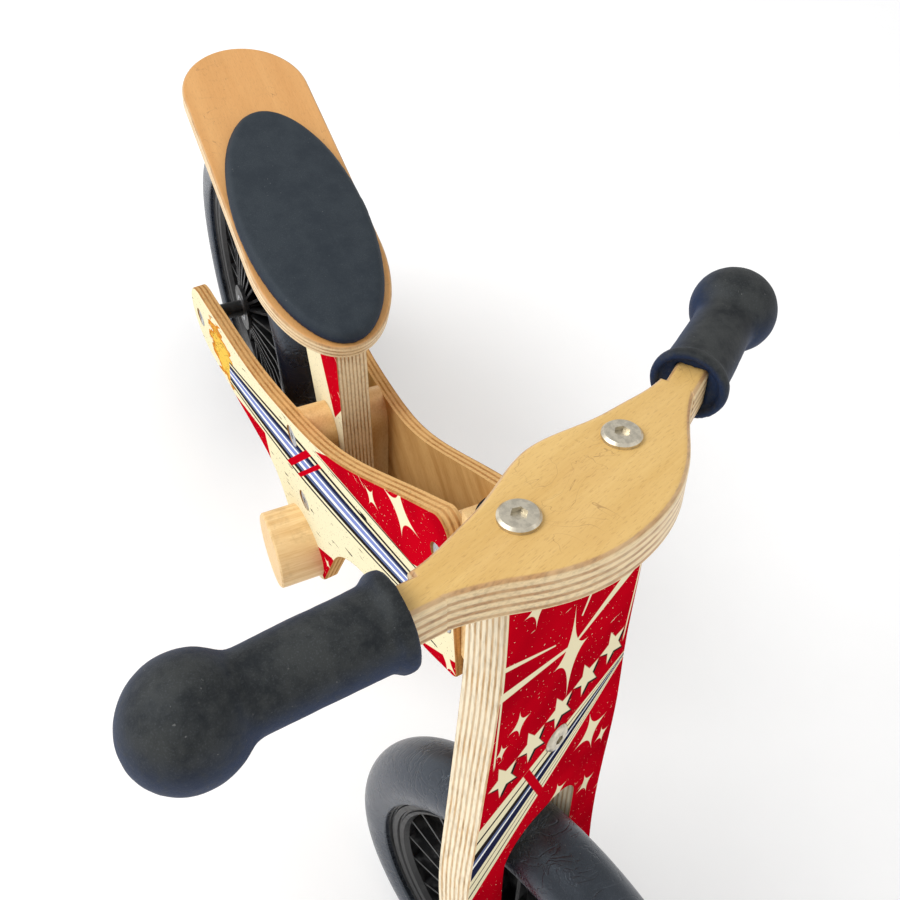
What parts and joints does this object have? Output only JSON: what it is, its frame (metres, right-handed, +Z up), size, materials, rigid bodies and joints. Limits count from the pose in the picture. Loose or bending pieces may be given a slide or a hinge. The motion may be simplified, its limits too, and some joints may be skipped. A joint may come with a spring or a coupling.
{
  "type": "balance bike",
  "caption": "Child's wooden balance bike with a plywood frame of toed-in side panels, slotted fork board, leaf-shaped handlebar with ball grips, padded seat, foot pegs and foam tyres.",
  "frame": {"origin": "on the ground under the middle of the bike, in the mid-plane of its frame", "axes": "+X forward, +Y to the rider's left, +Z up; the steering rests turned 21 degrees to the left"},
  "size_m": [0.7974, 0.341, 0.5401],
  "materials": {
    "zinc_steel": "nickel plated, slightly worn",
    "printed_plywood": "clear lacquered plywood with a printed outer face",
    "plain_wood": "clear lacquered",
    "foam_tyre": "satin closed-cell foam",
    "black_plastic": "satin moulded",
    "grip_foam": "matte foam",
    "pad_foam": "matte foam",
    "white_plastic": "moulded",
    "bearing_steel": "ground",
    "black_steel": "black powder coat"
  },
  "bodies": {
    "frame": {"right_side_panel": "printed_plywood", "left_side_panel": "printed_plywood", "head_block": "plain_wood", "steering_bushes": "white_plastic", "right_post_block": "plain_wood", "left_post_block": "plain_wood", "cross_bolts": "zinc_steel", "cross_bolt_nuts": "zinc_steel", "head_bolts": "zinc_steel", "head_bolt_nuts": "zinc_steel", "right_foot_peg": "plain_wood", "left_foot_peg": "plain_wood", "foot_peg_screws": "zinc_steel", "rear_axle": "zinc_steel", "rear_axle_nut": "zinc_steel", "rear_spacers": "black_plastic"},
    "steering": {"front_axle": "zinc_steel", "front_axle_nut": "zinc_steel", "front_spacers": "black_plastic", "fork_board": "printed_plywood", "handlebar_board": "plain_wood", "handlebar_bolts": "zinc_steel", "handlebar_barrel_nuts": "zinc_steel", "right_grip": "grip_foam", "left_grip": "grip_foam", "steering_bracket": "black_steel", "bracket_bolt": "zinc_steel", "bracket_nut": "zinc_steel", "bracket_screws": "zinc_steel", "steering_pin": "zinc_steel", "steering_pin_nut": "zinc_steel"},
    "front_wheel": {"front_tyre": "foam_tyre", "front_wheel_rim": "black_plastic", "front_wheel_disc": "black_plastic", "front_bearings": "bearing_steel", "front_hub_sleeve": "zinc_steel"},
    "rear_wheel": {"rear_tyre": "foam_tyre", "rear_wheel_rim": "black_plastic", "rear_wheel_disc": "black_plastic", "rear_bearings": "bearing_steel", "rear_hub_sleeve": "zinc_steel"},
    "seat": {"seat_board": "plain_wood", "seat_pad": "pad_foam", "seat_post": "printed_plywood", "seat_screws": "zinc_steel"}
  },
  "joints": [
    {"name": "steering", "type": "hinge", "parent": "frame", "child": "steering", "pos_m": [0.11944, 0, 0.4], "axis": [-0.3971, 0, 0.9178], "range_deg": [-61, 19]},
    {"name": "front_wheel_spin", "type": "hinge", "parent": "steering", "child": "front_wheel", "pos_m": [0.26215, 0.01089, 0.1417], "axis": [-0.3289, 0.9336, -0.1423], "continuous": true},
    {"name": "rear_wheel_spin", "type": "hinge", "parent": "frame", "child": "rear_wheel", "pos_m": [-0.257, 0, 0.1425], "axis": [0, 1, 0], "continuous": true},
    {"name": "seat_height", "type": "slide", "parent": "frame", "child": "seat", "axis": [-0.3971, 0, 0.9178], "range_m": [0, 0.04]}
  ]
}
